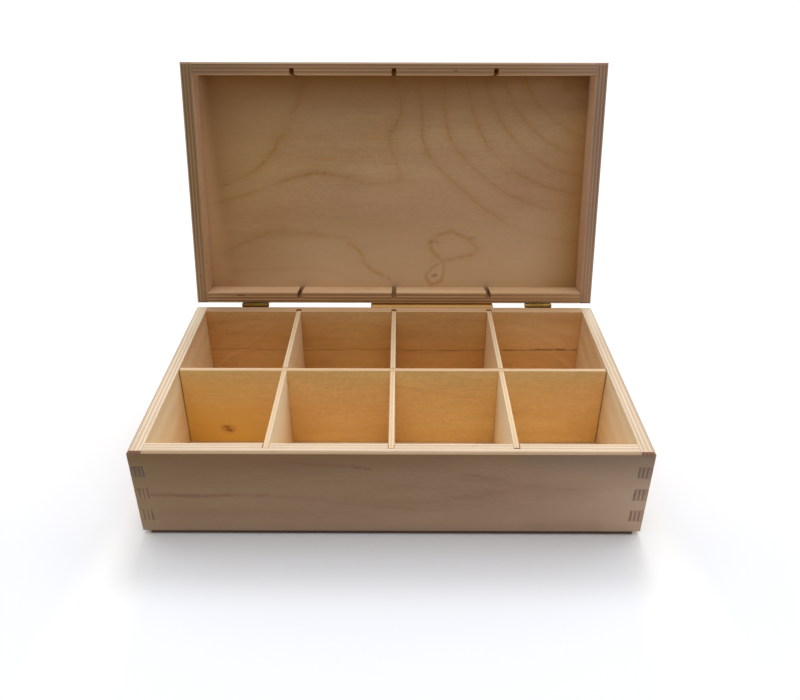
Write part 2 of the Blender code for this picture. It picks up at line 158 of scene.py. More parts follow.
class Pattern:
    """The nodes of one material. Each method adds some and returns the socket with their result."""

    def __init__(self, name):
        self.material = bpy.data.materials.new(name)
        self.material.use_nodes = True
        self.tree = self.material.node_tree
        self.shader = self.tree.nodes["Principled BSDF"]

    def fill(self, socket, value):
        if isinstance(value, bpy.types.NodeSocket):
            self.tree.links.new(value, socket)
        else:
            socket.default_value = value

    def node(self, kind, **settings):
        made = self.tree.nodes.new(kind)
        for setting, value in settings.items():
            setattr(made, setting, value)
        return made

    def math(self, operation, *values):
        made = self.node("ShaderNodeMath", operation=operation)
        for socket, value in zip(made.inputs, values):
            self.fill(socket, value)
        return made.outputs[0]

    def add(self, *values):
        total = values[0]
        for value in values[1:]:
            total = self.math("ADD", total, value)
        return total

    def times(self, *values):
        product = values[0]
        for value in values[1:]:
            product = self.math("MULTIPLY", product, value)
        return product

    def size(self, value):
        return self.math("ABSOLUTE", value)

    def vector(self, operation, *values):
        made = self.node("ShaderNodeVectorMath", operation=operation)
        for socket, value in zip(made.inputs, values):
            self.fill(socket, value)
        single = operation in ("LENGTH", "DOT_PRODUCT", "DISTANCE")
        return made.outputs["Value" if single else "Vector"]

    def split(self, vector):
        made = self.node("ShaderNodeSeparateXYZ")
        self.fill(made.inputs[0], vector)
        return list(made.outputs)

    def join(self, *values):
        made = self.node("ShaderNodeCombineXYZ")
        for socket, value in zip(made.inputs, values):
            self.fill(socket, value)
        return made.outputs[0]

    def step(self, value, low, high, first=0.0, last=1.0):
        """A smooth passage from one number to another as the value goes from low to high."""
        made = self.node("ShaderNodeMapRange", interpolation_type="SMOOTHSTEP")
        for socket, amount in zip(made.inputs, (value, low, high, first, last)):
            self.fill(socket, amount)
        return made.outputs[0]

    def mix(self, share, first, second):
        made = self.node("ShaderNodeMix", data_type="RGBA")
        self.fill(made.inputs[MIX_SHARE], share)
        self.fill(made.inputs[MIX_FIRST], first)
        self.fill(made.inputs[MIX_SECOND], second)
        return made.outputs[MIX_RESULT]

    def scaled(self, vector, amount):
        """A colour made darker or lighter by a number, or a vector made shorter or longer."""
        made = self.node("ShaderNodeVectorMath", operation="SCALE")
        self.fill(made.inputs["Vector"], vector)
        self.fill(made.inputs["Scale"], amount)
        return made.outputs[0]

    def noise(self, place, seed, kind):
        """Smooth noise about its middle, led through its passage where it has one."""
        shift = tuple((seed + kind.added) * each for each in SEED_SHIFTS)
        made = self.node("ShaderNodeTexNoise")
        self.fill(made.inputs["Vector"], self.vector("MULTIPLY_ADD", place, kind.scales, shift))
        made.inputs["Scale"].default_value = 1.0
        made.inputs["Detail"].default_value = kind.detail
        made.inputs["Roughness"].default_value = kind.roughness
        if kind.passage is None:
            return made.outputs["Fac"]
        return self.step(made.outputs["Fac"], *kind.passage)

    def closed_space(self, on_lid):
        """Where a point lies, and which way it faces, when the box is closed."""
        coordinates = self.node("ShaderNodeTexCoord")
        if not on_lid:
            return coordinates.outputs["Object"], coordinates.outputs["Normal"]
        place = self.node("ShaderNodeMapping", vector_type="POINT")
        self.fill(place.inputs["Vector"], coordinates.outputs["Object"])
        place.inputs["Location"].default_value = lid_opening.inverted().translation
        place.inputs["Rotation"].default_value = (OPENING, 0, 0)
        normal = self.node("ShaderNodeMapping", vector_type="VECTOR")
        self.fill(normal.inputs["Vector"], coordinates.outputs["Normal"])
        normal.inputs["Rotation"].default_value = (OPENING, 0, 0)
        return place.outputs[0], normal.outputs[0]

    def drawn(self, flat, points):
        """How far a point is covered by a soft line through the given points, each with its half width."""
        cover = 0.0
        for (x0, y0, wide0), (x1, y1, wide1) in zip(points, points[1:]):
            run = Vector((x1 - x0, y1 - y0, 0))
            from_start = self.vector("SUBTRACT", flat, (x0, y0, 0))
            share = self.math("DIVIDE", self.vector("DOT_PRODUCT", from_start, run), run.length_squared)
            share = self.math("MINIMUM", self.math("MAXIMUM", share, 0.0), 1.0)
            gap = self.vector("DISTANCE", from_start, self.scaled(run, share))
            width = self.add(self.times(share, wide1 - wide0), wide0)
            reached = self.step(self.math("DIVIDE", gap, width), 0.0, 1.0, *FALLING)
            cover = self.math("MAXIMUM", cover, reached)
        return cover

    def painted(self, colour, mark, flat, shown):
        """A colour with one mark over it, as far as the mark is shown there."""
        share = self.times(self.drawn(flat, mark.points), shown, mark.strength)
        return self.mix(share, colour, mark.tone)

    def relief(self, height, distance):
        made = self.node("ShaderNodeBump")
        made.inputs["Strength"].default_value = 1.0
        made.inputs["Distance"].default_value = distance
        self.fill(made.inputs["Height"], height)
        return made.outputs[0]

    def finish(self, colour, roughness, normal):
        self.fill(self.shader.inputs["Base Color"], colour)
        self.fill(self.shader.inputs["Roughness"], roughness)
        self.fill(self.shader.inputs["Normal"], normal)
        return self.material


# Tones of one kind of wood: veneer pale, deep and warm, its growth lines, plies with the grain and across it
# on rims and on ends, glue, saw cuts, and the edge tone of chamfers, which is wear on most boards and painted
# light on the lid's rear wall. Then the brightness of the outermost ply on a rim, and of the ends of fingers
# low and high on the box
Tones = namedtuple(
    "Tones",
    "pale deep warm line rim_long rim_cross end_long end_cross glue cut edge skin_shade end_fade",
)
VENEER_TONES = 4

# Inner faces are pale, outer faces darker and greyer
INNER_TONES = Tones(
    pale=shade(247, 223, 184),
    deep=shade(240, 210, 168),
    warm=shade(241, 207, 166),
    line=shade(212, 164, 102),
    rim_long=shade(234, 212, 184),
    rim_cross=shade(214, 187, 156),
    end_long=shade(170, 139, 113),
    end_cross=shade(134, 108, 92),
    glue=shade(166, 128, 96),
    cut=shade(206, 168, 132),
    edge=shade(172, 140, 102),
    skin_shade=1.0,
    end_fade=(1.0, 1.0),
)
OUTER_TONES = INNER_TONES._replace(
    pale=shade(172, 140, 110),
    deep=shade(157, 124, 94),
    warm=shade(163, 125, 98),
    line=shade(130, 94, 60),
)
LONG_TONES = INNER_TONES._replace(
    pale=shade(248, 217, 152),
    deep=shade(241, 202, 134),
    warm=shade(243, 197, 138),
    line=shade(206, 148, 74),
    rim_long=shade(240, 204, 162),
    rim_cross=shade(228, 188, 146),
)
CROSS_TONES = INNER_TONES._replace(rim_long=shade(244, 216, 176), rim_cross=shade(230, 198, 160))
# Rear wall: inner face darker and more saturated as painted shade of the lid, scorched cuts kept pale as
# painted light
REAR_TONES = LONG_TONES._replace(
    pale=shade(232, 190, 124),
    deep=shade(222, 174, 104),
    warm=shade(228, 174, 116),
    line=shade(188, 128, 60),
    rim_long=shade(228, 186, 142),
    rim_cross=shade(212, 168, 122),
    cut=shade(196, 134, 88),
)
# Front wall: its dark reddish cut tone is painted shade in the gaps where the slots end at the dividers' tips
FRONT_TONES = INNER_TONES._replace(cut=shade(160, 92, 60), edge=shade(232, 198, 156))
LEFT_TONES = INNER_TONES._replace(
    end_long=shade(172, 136, 98),
    end_cross=shade(136, 105, 76),
    end_fade=(1.03, 0.38),
)
RIGHT_TONES = INNER_TONES._replace(
    end_long=shade(174, 143, 117),
    end_cross=shade(128, 103, 87),
    end_fade=(1.28, 0.74),
)
# Lid rims far darker than the base's rims of the same plywood: painted shade on the standing lid's rims
LID_TONES = INNER_TONES._replace(
    pale=shade(228, 196, 160),
    deep=shade(214, 180, 142),
    warm=shade(219, 180, 150),
    rim_long=shade(168, 130, 88),
    rim_cross=shade(140, 102, 66),
    glue=shade(116, 82, 52),
    cut=shade(132, 78, 38),
    skin_shade=0.80,
)
# Lid's rear wall: its very pale edge tone is painted light on the shaded chamfer along the lid's lower edge
LID_REAR_TONES = LID_TONES._replace(
    pale=shade(238, 202, 160),
    deep=shade(226, 188, 144),
    warm=shade(230, 186, 150),
    rim_long=shade(193, 149, 100),
    rim_cross=shade(150, 106, 64),
    edge=shade(255, 226, 176),
    skin_shade=0.92,
)
# Lid's left rims darker still, as painted shade, and its right rims lighter, as painted light from the right
LID_LEFT_TONES = LID_TONES._replace(
    rim_long=shade(162, 128, 82),
    rim_cross=shade(128, 92, 54),
    glue=shade(100, 72, 46),
)
LID_RIGHT_TONES = LID_TONES._replace(rim_long=shade(184, 148, 120), rim_cross=shade(156, 118, 92))
PANEL_TONES = LID_TONES._replace(
    pale=shade(190, 154, 110),
    deep=shade(178, 139, 94),
    warm=shade(186, 141, 105),
    line=shade(160, 112, 46),
)
# Batten tones raised near the brightest a colour can be: painted light on a strip that the leaning lid shades
BATTEN_TONES = INNER_TONES._replace(
    pale=shade(252, 200, 124),
    deep=shade(240, 176, 96),
    warm=shade(248, 188, 108),
    line=shade(200, 130, 66),
    rim_long=shade(255, 196, 112),
    rim_cross=shade(255, 196, 112),
)
HARDBOARD_TONES = INNER_TONES._replace(
    rim_long=shade(90, 62, 44),
    rim_cross=shade(80, 54, 38),
    end_long=shade(90, 62, 44),
    end_cross=shade(80, 54, 38),
)
END_STAIN = shade(140, 88, 62)

# How squarely a surface looks along a direction, where it begins to count as a face, as an end and as outer,
# and where a chamfer gives way to the full face
FACE_BEGINS = (0.5, 0.65)
END_BEGINS = (0.25, 0.45)
OUTER_BEGINS = (0.0, 0.5)
FULL_FACE = (0.80, 0.93)

# Noises in a face's veneer
RAGGED = Noise((60, 900, 900), 1, roughness=0.6)
PRESENCE = Noise((14, 40, 60), 2, passage=(0.35, 0.6, 0.3, 1.0))
FIBRE = Noise((45, 1500, 1500), 3, roughness=0.6)
BROAD = Noise((7, 60, 60), 4, passage=(0.3, 0.7), detail=3.0, roughness=0.55)
PATCH = Noise((6, 14, 30), 5, passage=(0.40, 0.64, 0.0, 0.7), detail=1.0)
PORE = Noise((320, 3200, 3200), 6, passage=(0.66, 0.75), detail=1.0)
FLECK = Noise((110, 700, 700), 10, passage=(0.30, 0.44, 0.95, 1.0))
MOTTLE = Noise((260, 420, 420), 14, passage=(0.3, 0.7, 0.955, 1.045), roughness=0.7)
BEADS = Noise((260, 380, 60), 15, passage=(0.35, 0.60, 0.45, 1.0), detail=1.0)
FIBRE_BRIGHTNESS = (0.25, 0.75, 0.945, 1.05)
LINE_SPACING = 1.0
HALO_WIDTHS = 4.0
HALO_STRENGTH = 0.45
PORE_STRENGTH = 0.35

# Noises that make a mark sway and break up, and how far it sways
SWAY = Noise((60, 60, 60), 11)
BREAKS = Noise((160, 40, 40), 13, passage=(0.35, 0.55, 0.45, 1.0), detail=1.0)
SWAY_DISTANCE = 0.003

# Noises in the plies, whose depth is counted in plies
DRIFT = Noise((40, 40, 10), 7)
PLY_FIBRE = Noise((60, 60, 4000), 8, passage=(0.25, 0.75, 0.95, 1.04), roughness=0.6)
SPECKLE = Noise((2400, 2400, 2400), 9, roughness=0.7)
PLY_TONE = Noise((9.0, 9.0, 2.3), 0, passage=(0.3, 0.7, 0.90, 1.06))
SPECKLE_BRIGHTNESS = (0.2, 0.8, 0.93, 1.05)
DRIFT_DEPTH = 0.3
PLY_MIDDLE = 0.5
GLUE_BEGINS = (0.40, 0.49)
GLUE_STRENGTH = 0.35
SKIN_DEPTHS = (0.9, 1.2)
SKIN_STRENGTH = 0.7
SKIN_SHADE_DEPTHS = (0.6, 3.0)

# Heights between which the ends of the fingers change from their lower to their upper brightness
END_HEIGHTS = (0.018, 0.056)

# Saw cuts, by their depth in the board and their distance from the board's end, and how strongly the chamfers
# take their edge tone of wear and, on the lid's rear wall, painted light
CUT_DEPTHS = (0.0004, 0.0007)
CUT_FROM_END = (0.012, 0.010)
CUT_STRENGTH = 0.8
WEAR_AND_LIGHT_STRENGTH = 0.5
STAIN_STRENGTH = 0.7

# Relief and gloss of the wood
FIBRE_HEIGHT = 0.5
PORE_HEIGHT = -0.5
SPECKLE_HEIGHT = 0.2
WOOD_RELIEF = 0.00008
WOOD_ROUGHNESS = (0.2, 0.8, 0.52, 0.68)


class Wood(Pattern):
    """Plywood whose veneers show on its faces and whose plies show on its rims and ends."""

    def __init__(self, board):
        super().__init__("wood_" + board.node)
        self.board = board
        low, high = closed_box(board.node)
        self.low = low[board.axes[2]]
        self.high = high[board.axes[2]]
        self.reach = high[board.axes[0]]
        place, normal = self.closed_space(frame["nodes"][board.node]["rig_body"] == "lid")
        places = self.split(place)
        self.along, self.across, self.through = (places[axis] for axis in board.axes)
        facing = self.split(normal)
        self.toward_through = facing[board.axes[2]]
        self.steep_along = self.size(facing[board.axes[0]])
        self.steep_through = self.size(self.toward_through)
        self.on_face = self.step(self.steep_through, *FACE_BEGINS)
        self.on_end = self.step(self.steep_along, *END_BEGINS)
        self.place = self.join(self.along, self.across, self.through)
        self.fibre = self.own(FIBRE)
        self.pore = self.own(PORE)
        self.speckle = self.own(SPECKLE)

    def own(self, kind):
        """One of the noises of this board."""
        return self.noise(self.place, self.board.seed, kind)

    def own_about_zero(self, kind):
        return self.add(self.own(kind), -NOISE_MIDDLE)

    def veneer(self):
        """A face: growth lines where a slow field crosses whole numbers, fibres, pores and soft patches."""
        field, width, strength = self.board.figure(self)
        from_line = self.math("PINGPONG", field, LINE_SPACING / 2)
        ragged_line = self.add(from_line, self.times(self.own_about_zero(RAGGED), width))
        core = self.step(ragged_line, 0.0, width, *FALLING)
        halo = self.step(from_line, 0.0, width * HALO_WIDTHS, *FALLING)
        presence = self.own(PRESENCE)
        outer = self.step(self.times(self.toward_through, self.board.outside), *OUTER_BEGINS)
        pairs = zip(self.board.tones[:VENEER_TONES], OUTER_TONES[:VENEER_TONES])
        pale, deep, warm, line = (self.mix(outer, *pair) for pair in pairs)
        colour = self.mix(self.own(BROAD), deep, pale)
        colour = self.mix(self.own(PATCH), colour, warm)
        colour = self.mix(self.times(core, presence, self.own(BEADS), strength), colour, line)
        colour = self.mix(self.times(halo, presence, strength, HALO_STRENGTH), colour, line)
        colour = self.scaled(colour, self.step(self.fibre, *FIBRE_BRIGHTNESS))
        colour = self.scaled(colour, self.own(FLECK))
        colour = self.mix(self.times(self.pore, PORE_STRENGTH), colour, line)
        return self.scaled(colour, self.own(MOTTLE))

    def full_side(self, mark):
        return self.step(self.times(self.toward_through, mark.side), *FULL_FACE)

    def marked(self, colour):
        """A face with its washes, among them painted light and painted shade, and then its marks."""
        flat = self.join(self.along, self.across, 0)
        for wash in self.board.washes:
            colour = self.painted(colour, wash, flat, self.full_side(wash))
        sway = self.times(self.own_about_zero(SWAY), SWAY_DISTANCE)
        swaying = self.vector("ADD", flat, self.join(0, sway, 0))
        whole = self.own(BREAKS)
        for mark in self.board.marks:
            colour = self.painted(colour, mark, swaying, self.times(self.full_side(mark), whole))
        return colour

    def plies(self):
        """A rim or an end: bands through the thickness, turn about with the grain and across it."""
        count, outside, tones = self.board.plies, self.board.outside, self.board.tones
        depth = self.times(self.add(self.through, -self.low), count / (self.high - self.low))
        band_place = self.add(depth, self.times(self.own_about_zero(DRIFT), DRIFT_DEPTH))
        band = self.math("FLOOR", band_place)
        odd = self.math("PINGPONG", band, 1.0)
        glue = self.step(self.size(self.add(self.math("FRACT", band_place), -PLY_MIDDLE)), *GLUE_BEGINS)
        end = self.mix(odd, tones.end_cross, tones.end_long)
        skin_brightness = 1.0
        if outside:
            from_skin = self.add(self.times(self.add(depth, -count / 2), -outside), count / 2)
            skin = self.step(from_skin, *SKIN_DEPTHS, *FALLING)
            end = self.mix(self.times(skin, SKIN_STRENGTH), end, tones.end_long)
            skin_brightness = self.step(from_skin, *SKIN_SHADE_DEPTHS, tones.skin_shade, 1.0)
        end = self.scaled(end, self.step(self.across, *END_HEIGHTS, *tones.end_fade))
        colour = self.mix(self.on_end, self.mix(odd, tones.rim_long, tones.rim_cross), end)
        in_band = self.join(self.along, self.across, band)
        colour = self.scaled(colour, self.noise(in_band, self.board.seed, PLY_TONE))
        colour = self.scaled(colour, self.own(PLY_FIBRE))
        colour = self.scaled(colour, self.step(self.speckle, *SPECKLE_BRIGHTNESS))
        colour = self.mix(self.times(glue, GLUE_STRENGTH), colour, tones.glue)
        colour = self.scaled(colour, skin_brightness)
        flat = self.join(self.along, self.through, 0)
        on_rim = self.add(self.times(self.on_end, -1.0), 1.0)
        for mark in self.board.rim_marks:
            colour = self.painted(colour, mark, flat, on_rim)
        return colour

    def saw_cuts(self):
        """Where the board was cut into: the bottoms and the ends of its slots and sockets."""
        from_low = self.add(self.through, -self.low)
        from_high = self.add(self.times(self.through, -1.0), self.high)
        deep = self.step(self.math("MINIMUM", from_low, from_high), *CUT_DEPTHS)
        bottom = self.times(self.step(self.steep_through, *FULL_FACE), deep)
        limits = [self.reach - distance for distance in CUT_FROM_END]
        within = self.step(self.size(self.along), *limits, *FALLING)
        return self.math("MAXIMUM", bottom, self.times(self.on_end, within))

    def finished(self):
        """Faces, plies and saw cuts, with chamfers along the board in their edge tone and stained across
        finger ends.
        """
        wear_and_light = self.times(self.on_face, self.step(self.steep_through, *FULL_FACE, *FALLING))
        stained = self.times(self.on_end, self.step(self.steep_along, *FULL_FACE, *FALLING))
        colour = self.mix(self.on_face, self.plies(), self.marked(self.veneer()))
        colour = self.mix(self.times(self.saw_cuts(), CUT_STRENGTH), colour, self.board.tones.cut)
        # Chamfers take the edge tone: wear, and on the lid's rear wall painted light
        colour = self.mix(self.times(wear_and_light, WEAR_AND_LIGHT_STRENGTH), colour, self.board.tones.edge)
        colour = self.mix(self.times(stained, STAIN_STRENGTH), colour, END_STAIN)
        height = self.add(
            self.times(self.fibre, FIBRE_HEIGHT),
            self.times(self.pore, PORE_HEIGHT),
            self.times(self.speckle, SPECKLE_HEIGHT),
        )
        return self.finish(colour, self.step(self.fibre, *WOOD_ROUGHNESS), self.relief(height, WOOD_RELIEF))


# Growth lines of plain boards: the slow field, how many lines it holds, and how much they waver
STRAIGHT = Noise((2.2, 16, 16), 0, detail=1.0)
SWIRLING = Noise((7, 9, 40), 0, detail=1.0)
WANDER = Noise((25, 90, 90), 12, detail=3.0)
FIELD_LINES = 9.0
STRAIGHT_WANDER = 0.35
SWIRLING_WANDER = 0.2
LINE_WIDTH = 0.07
LINE_STRENGTH = 0.22
FAINT_STRENGTH = 0.12


def plain_field(wood, slow, wander):
    return wood.add(wood.times(wood.own(slow), FIELD_LINES), wood.times(wood.own(WANDER), wander))


def straight_figure(wood):
    """Growth lines that run nearly along the grain."""
    return plain_field(wood, STRAIGHT, STRAIGHT_WANDER), LINE_WIDTH, LINE_STRENGTH


def faint_figure(wood):
    """The same on the thin dividers, where the lines hardly show."""
    return plain_field(wood, STRAIGHT, STRAIGHT_WANDER), LINE_WIDTH, FAINT_STRENGTH


def swirling_figure(wood):
    """Growth lines that wander over the whole face."""
    return plain_field(wood, SWIRLING, SWIRLING_WANDER), LINE_WIDTH, LINE_STRENGTH


# The lid's panel: its growth field is a slope and these hills, as (height, x, y, two radii, turn)
PANEL_LEVEL = -0.137
PANEL_SLOPE = (-2.304, 8.867)
PANEL_HILLS = (
    (1.730, -0.1957, 0.0234, 0.1169, 0.0164, -0.130),
    (1.819, -0.1481, 0.0485, 0.0192, 0.0531, -2.072),
    (-1.906, -0.1394, 0.0154, 0.1482, 0.0515, 1.874),
    (-2.879, -0.0958, 0.0971, 0.1202, 0.0339, -0.350),
    (4.646, 0.0061, -0.0116, 0.0564, 0.0350, -2.137),
    (-1.716, -0.0024, -0.0549, 0.0206, 0.0328, 2.306),
    (6.001, 0.1078, -0.0928, 0.0778, 0.0506, 0.241),
    (6.095, 0.2030, -0.0393, 0.1547, 0.0604, 3.040),
    (-5.490, 0.0052, -0.0091, 0.0518, 0.0311, -2.517),
    (1.050, -0.0065, 0.0609, 0.0155, 0.0443, -1.471),
    (0.900, 0.0455, 0.0440, 0.0235, 0.0125, 0.100),
    (0.850, 0.0310, 0.0660, 0.0080, 0.0090, 0.200),
)
PANEL_WAVER = Noise((70, 110, 110), 12, detail=3.0, roughness=0.6)
PANEL_WANDER = 0.16
PANEL_LINE_WIDTH = 0.085
PANEL_LINE_STRENGTH = 0.86

# The lines grow fainter toward the panel's front right corner, the upper right one where the lid stands open
PANEL_FADING = (-0.02, 0.09, 1.0, 0.62)


def panel_figure(wood):
    """The wandering contours that the photograph shows inside the lid, as in rotary-cut veneer."""
    flat = wood.join(wood.along, wood.across, 0)
    field = wood.add(
        wood.times(wood.along, PANEL_SLOPE[0]),
        wood.times(wood.across, PANEL_SLOPE[1]),
        PANEL_LEVEL,
    )
    for height, x, y, long_radius, short_radius, turn in PANEL_HILLS:
        centred = wood.node("ShaderNodeMapping", vector_type="TEXTURE")
        wood.fill(centred.inputs["Vector"], flat)
        centred.inputs["Location"].default_value = (x, y, 0)
        centred.inputs["Rotation"].default_value = (0, 0, turn)
        centred.inputs["Scale"].default_value = (long_radius, short_radius, 1)
        square = wood.vector("DOT_PRODUCT", centred.outputs[0], centred.outputs[0])
        field = wood.add(field, wood.times(wood.math("EXPONENT", wood.times(square, -1.0)), height))
    field = wood.add(field, wood.times(wood.own_about_zero(PANEL_WAVER), PANEL_WANDER))
    fading = wood.step(wood.add(wood.along, wood.times(wood.across, -1.0)), *PANEL_FADING)
    return field, PANEL_LINE_WIDTH, wood.times(fading, PANEL_LINE_STRENGTH)


# Aged brass: tarnish, fine scratches and a soft gloss
TARNISH = Noise((90, 700, 700), 0, detail=3.0)
SCRATCH = Noise((300, 9000, 9000), 1)
METAL_GRAIN = Noise((5000, 5000, 5000), 2)
TARNISH_SHARE = (0.38, 0.66)
SCRATCH_BRIGHTNESS = (0.3, 0.7, 0.88, 1.08)
METAL_ROUGHNESS = (0.3, 0.7, 0.42, 0.62)
METAL_RELIEF = 0.00002


def metal(name, bright, dull, seed):
    p = Pattern(name)
    place = p.node("ShaderNodeTexCoord").outputs["Object"]
    tarnish = p.noise(place, seed, TARNISH)
    scratch = p.noise(place, seed, SCRATCH)
    colour = p.mix(p.step(tarnish, *TARNISH_SHARE), bright, dull)
    colour = p.scaled(colour, p.step(scratch, *SCRATCH_BRIGHTNESS))
    height = p.add(scratch, p.noise(place, seed, METAL_GRAIN))
    p.shader.inputs["Metallic"].default_value = 1.0
    return p.finish(colour, p.step(tarnish, *METAL_ROUGHNESS), p.relief(height, METAL_RELIEF))


def refined(name, node, easing, least_edge):
    """A node's mesh as one skin with its edges eased."""
    shape = bmesh.new()
    shape.from_mesh(frame["nodes"][node].data)
    bmesh.ops.remove_doubles(shape, verts=shape.verts, dist=WELD_DISTANCE)
    bmesh.ops.dissolve_limit(shape, angle_limit=FLAT_ANGLE, verts=shape.verts, edges=shape.edges)
    sharp = [
        edge
        for edge in shape.edges
        if edge.is_manifold and edge.calc_face_angle() > SHARP_ANGLE and edge.calc_length() > least_edge
    ]
    bmesh.ops.bevel(
        shape,
        geom=sharp,
        offset=easing,
        segments=EASING_STEPS,
        profile=EASING_ROUNDNESS,
        affect="EDGES",
        clamp_overlap=True,
    )
    for face in shape.faces:
        face.smooth = True
    for edge in shape.edges:
        edge.smooth = not (edge.is_manifold and edge.calc_face_angle() > SHARP_ANGLE)
    mesh = bpy.data.meshes.new(name)
    shape.to_mesh(mesh)
    shape.free()
    return mesh


def dress(node, material, easing, least_edge):
    """A finished piece in place of a node, riding on its body."""
    body = frame["nodes"][node]["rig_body"]
    name = "fine_" + node
    piece = bpy.data.objects.new(name, refined(name, node, easing, least_edge))
    bpy.context.scene.collection.objects.link(piece)
    piece.data.materials.append(material)
    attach(piece, body)
    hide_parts(node)


def closed_box(node):
    """Lowest and highest corner of a node in the space of the closed box."""
    source = frame["nodes"][node]
    turn = lid_opening.inverted() if source["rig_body"] == "lid" else Matrix.Identity(4)
    corners = [turn @ vert.co for vert in source.data.vertices]
    low = [min(corner[axis] for corner in corners) for axis in range(3)]
    high = [max(corner[axis] for corner in corners) for axis in range(3)]
    return low, high


def add_camera():
    camera = bpy.data.cameras.new("camera")
    camera.sensor_width = SENSOR_WIDTH
    camera.lens = FOCAL_PIXELS / IMAGE_WIDTH * SENSOR_WIDTH
    camera.shift_y = (AXIS_ROW - IMAGE_HEIGHT / 2) / IMAGE_WIDTH
    camera.clip_start = NEAREST_SEEN
    camera.clip_end = FARTHEST_SEEN
    holder = bpy.data.objects.new("camera", camera)
    turn = Matrix.Rotation(-CAMERA_YAW, 4, "Z")
    turn = turn @ Matrix.Rotation(math.pi / 2 + CAMERA_PITCH, 4, "X")
    turn = turn @ Matrix.Rotation(CAMERA_ROLL, 4, "Z")
    holder.matrix_world = Matrix.Translation(CAMERA_PLACE) @ turn
    bpy.context.scene.collection.objects.link(holder)
    bpy.context.scene.camera = holder


def add_suns():
    for name, strength, spread, tilt_x, tilt_y in SUNS:
        sun = bpy.data.lights.new(name, "SUN")
        sun.energy = strength
        sun.angle = math.radians(spread)
        holder = bpy.data.objects.new(name, sun)
        holder.rotation_euler = (math.radians(tilt_x), math.radians(tilt_y), 0)
        bpy.context.scene.collection.objects.link(holder)


def add_sky():
    """An even sky, bright to the eye and in gleams, but weaker as a light."""
    world = bpy.context.scene.world or bpy.data.worlds.new("studio")
    bpy.context.scene.world = world
    world.use_nodes = True
    tree = world.node_tree
    background = tree.nodes["Background"]
    background.inputs["Color"].default_value = SKY_COLOUR
    path = tree.nodes.new("ShaderNodeLightPath")
    seen = tree.nodes.new("ShaderNodeMath")
    seen.operation = "MAXIMUM"
    tree.links.new(path.outputs["Is Camera Ray"], seen.inputs[0])
    tree.links.new(path.outputs["Is Glossy Ray"], seen.inputs[1])
    level = tree.nodes.new("ShaderNodeMapRange")
    tree.links.new(seen.outputs[0], level.inputs["Value"])
    level.inputs["To Min"].default_value = SKY_STRENGTH
    level.inputs["To Max"].default_value = SKY_SEEN
    tree.links.new(level.outputs[0], background.inputs["Strength"])


def add_floor():
    """A pale floor, which sends a little less light back to the box than it shows to the eye."""
    p = Pattern("floor")
    path = p.node("ShaderNodeLightPath")
    seen = p.math("MAXIMUM", path.outputs["Is Camera Ray"], path.outputs["Is Glossy Ray"])
    across, depth, _ = p.split(p.node("ShaderNodeTexCoord").outputs["Object"])
    from_middle = p.size(across)
    # A paler band at each side of the box: painted light over the box's shadow
    rising = p.step(from_middle, *FLOOR_PAINTED_LIGHT_BEGINS)
    band = p.times(rising, p.step(from_middle, *FLOOR_PAINTED_LIGHT_ENDS, *FALLING))
    pale = p.mix(p.math("MAXIMUM", p.step(depth, *FLOOR_TURN), band), FLOOR_NEAR, FLOOR_FAR)
    p.fill(p.shader.inputs["Base Color"], p.mix(seen, FLOOR_BOUNCE, pale))
    p.shader.inputs["Roughness"].default_value = FLOOR_ROUGHNESS
    p.shader.inputs["Specular IOR Level"].default_value = 0.0
    bpy.ops.mesh.primitive_plane_add(size=FLOOR_SIZE)
    floor = bpy.context.active_object
    floor.name = "floor"
    floor.data.materials.append(p.material)


# A mark: its points as (along, across, half width), its tone, how strong it is, and the side of the board
# that it lies on, as the sign of the direction through the board. A wash is a wide and smooth mark, and many
# washes are painted light and painted shade
Mark = namedtuple("Mark", "points tone strength side", defaults=(-1,))

# Marks of the front wall's outer face: long streaks, fine lines, a small fleck, and soft washes. The deep and
# grey washes are painted shade along the top, the wide olive wash at the left is olive tone and painted
# shade, and the pink washes are painted light along the bottom and at the right
DARK_STREAK = shade(108, 64, 38)
SOFT_STREAK = shade(134, 88, 60)
PAINTED_SHADE_DEEP = shade(117, 83, 36)
OLIVE_WASH = shade(146, 118, 76)
PAINTED_LIGHT_PINK = shade(212, 180, 152)
PAINTED_SHADE_GREY = shade(116, 94, 74)
STRAW_WASH = shade(150, 114, 68)
PAINTED_SHADE_TOP_LINE = (
    (-0.180, 0.061, 0.038),
    (-0.060, 0.061, 0.038),
    (0.030, 0.067, 0.036),
    (0.090, 0.074, 0.035),
    (0.180, 0.077, 0.034),
)
# Washes: painted shade along the top and at the left, painted light along the bottom and at the right
FRONT_WASHES = (
    Mark(((-0.150, 0.080, 0.080), (-0.145, -0.010, 0.070)), OLIVE_WASH, 0.65),
    Mark(((-0.100, 0.030, 0.050), (0.000, 0.026, 0.045)), STRAW_WASH, 0.30),
    Mark(((-0.160, -0.020, 0.045), (0.180, -0.020, 0.060)), PAINTED_LIGHT_PINK, 0.70),
    Mark(((0.150, -0.020, 0.125), (0.165, 0.050, 0.110)), PAINTED_LIGHT_PINK, 0.60),
    Mark(PAINTED_SHADE_TOP_LINE, PAINTED_SHADE_DEEP, 0.86),
    Mark(((0.080, 0.066, 0.024), (0.125, 0.062, 0.034), (0.180, 0.060, 0.034)), PAINTED_SHADE_GREY, 0.60),
    Mark(((0.085, 0.037, 0.014), (0.110, 0.034, 0.012)), OLIVE_WASH, 0.22),
    Mark(((0.082, 0.008, 0.012), (0.118, 0.007, 0.010)), OLIVE_WASH, 0.22),
)
